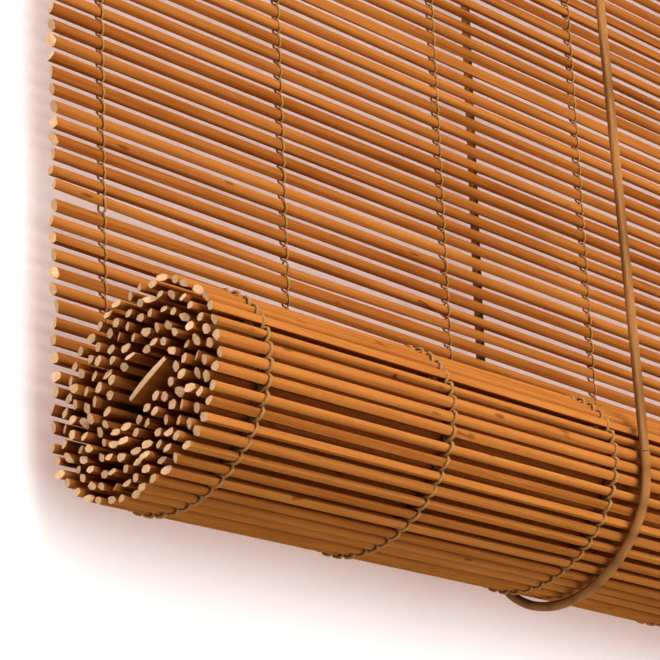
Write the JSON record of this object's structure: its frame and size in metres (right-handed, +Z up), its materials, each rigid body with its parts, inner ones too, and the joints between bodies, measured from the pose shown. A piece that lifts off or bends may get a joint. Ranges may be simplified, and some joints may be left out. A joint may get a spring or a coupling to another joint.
{
  "type": "bamboo roll up blind",
  "caption": "Window blind of thin stained bamboo reeds stitched into a mat, hung from a timber headrail and rolled up from its foot in corded slings.",
  "frame": {"origin": "midway between the two hanging holes, on the back face of the hanging plates where they meet the wall", "axes": "+X along the reeds to the right as seen from the room, +Y into the wall, +Z up"},
  "size_m": [0.868, 0.0791, 0.6491],
  "materials": {
    "reed": "caramel stained split bamboo, satin",
    "thread": "khaki twisted cotton thread",
    "cord": "brown braided cord",
    "timber": "caramel stained softwood, satin",
    "steel": "zinc plated",
    "brass": "plain turned",
    "wheel": "cream moulded"
  },
  "bodies": {
    "headrail": {"reed_mat": "reed", "stitch_threads": "thread", "lift_cord_left_back": "cord", "lift_cord_left_front": "cord", "lift_cord_left_top": "cord", "lift_cord_right_back": "cord", "lift_cord_right_front": "cord", "lift_cord_right_top": "cord", "pull_cord_left": "cord", "pull_cord_right": "cord", "anchor_knot_left": "cord", "anchor_knot_right": "cord", "headrail": "timber", "clamp_strip": "timber", "clamp_nails": "steel", "hanging_plate_left": "steel", "hanging_plate_right": "steel", "plate_screws": "steel", "pulley_bracket_left": "steel", "pulley_bracket_right": "steel", "pulley_axle_left": "steel", "pulley_axle_right": "steel", "rail_screws": "steel", "cord_lock": "steel", "lock_pin": "steel"},
    "roll": {"rolled_mat": "reed", "bottom_slat": "reed", "lift_cord_left_sling": "cord", "lift_cord_right_sling": "cord"},
    "left_wheel": {"pulley_wheel_left": "wheel"},
    "right_front_wheel": {"pulley_wheel_right_front": "wheel"},
    "right_back_wheel": {"pulley_wheel_right_back": "wheel"},
    "lock_guide": {"guide_roller": "wheel"},
    "lock_jaw": {"lock_roller": "brass"},
    "pull": {"cord_pull": "timber", "pull_knot": "cord"}
  },
  "joints": [
    {"name": "roll_lift", "type": "slide", "parent": "headrail", "child": "roll", "axis": [0, 0, 1], "range_m": [0, 0.45], "deforming": ["reed_mat", "stitch_threads", "lift_cord_left_back", "lift_cord_right_back", "lift_cord_left_front", "lift_cord_right_front"]},
    {"name": "pull_travel", "type": "slide", "parent": "headrail", "child": "pull", "axis": [0, 0, -1], "range_m": [0, 0.9], "deforming": ["pull_cord_left", "pull_cord_right"]},
    {"name": "lock_release", "type": "slide", "parent": "headrail", "child": "lock_jaw", "axis": [0.5, 0, 0.866], "range_m": [0, 0.004]},
    {"name": "left_wheel_spin", "type": "hinge", "parent": "headrail", "child": "left_wheel", "pos_m": [-0.1835, -0.0463, -0.044], "axis": [0, 1, 0], "continuous": true},
    {"name": "right_front_wheel_spin", "type": "hinge", "parent": "headrail", "child": "right_front_wheel", "pos_m": [0.2015, -0.0463, -0.044], "axis": [0, 1, 0], "continuous": true},
    {"name": "right_back_wheel_spin", "type": "hinge", "parent": "headrail", "child": "right_back_wheel", "pos_m": [0.2015, -0.0399, -0.044], "axis": [0, 1, 0], "continuous": true},
    {"name": "lock_guide_spin", "type": "hinge", "parent": "headrail", "child": "lock_guide", "pos_m": [0.406, -0.0431, -0.044], "axis": [0, 1, 0], "continuous": true}
  ],
  "couplings": [
    {"joint": "pull_travel", "follows": "roll_lift", "ratio": 2},
    {"joint": "left_wheel_spin", "follows": "roll_lift", "rad_per_m": 222.22},
    {"joint": "right_front_wheel_spin", "follows": "roll_lift", "rad_per_m": 222.22},
    {"joint": "right_back_wheel_spin", "follows": "roll_lift", "rad_per_m": 222.22},
    {"joint": "lock_guide_spin", "follows": "roll_lift", "rad_per_m": 222.22}
  ]
}
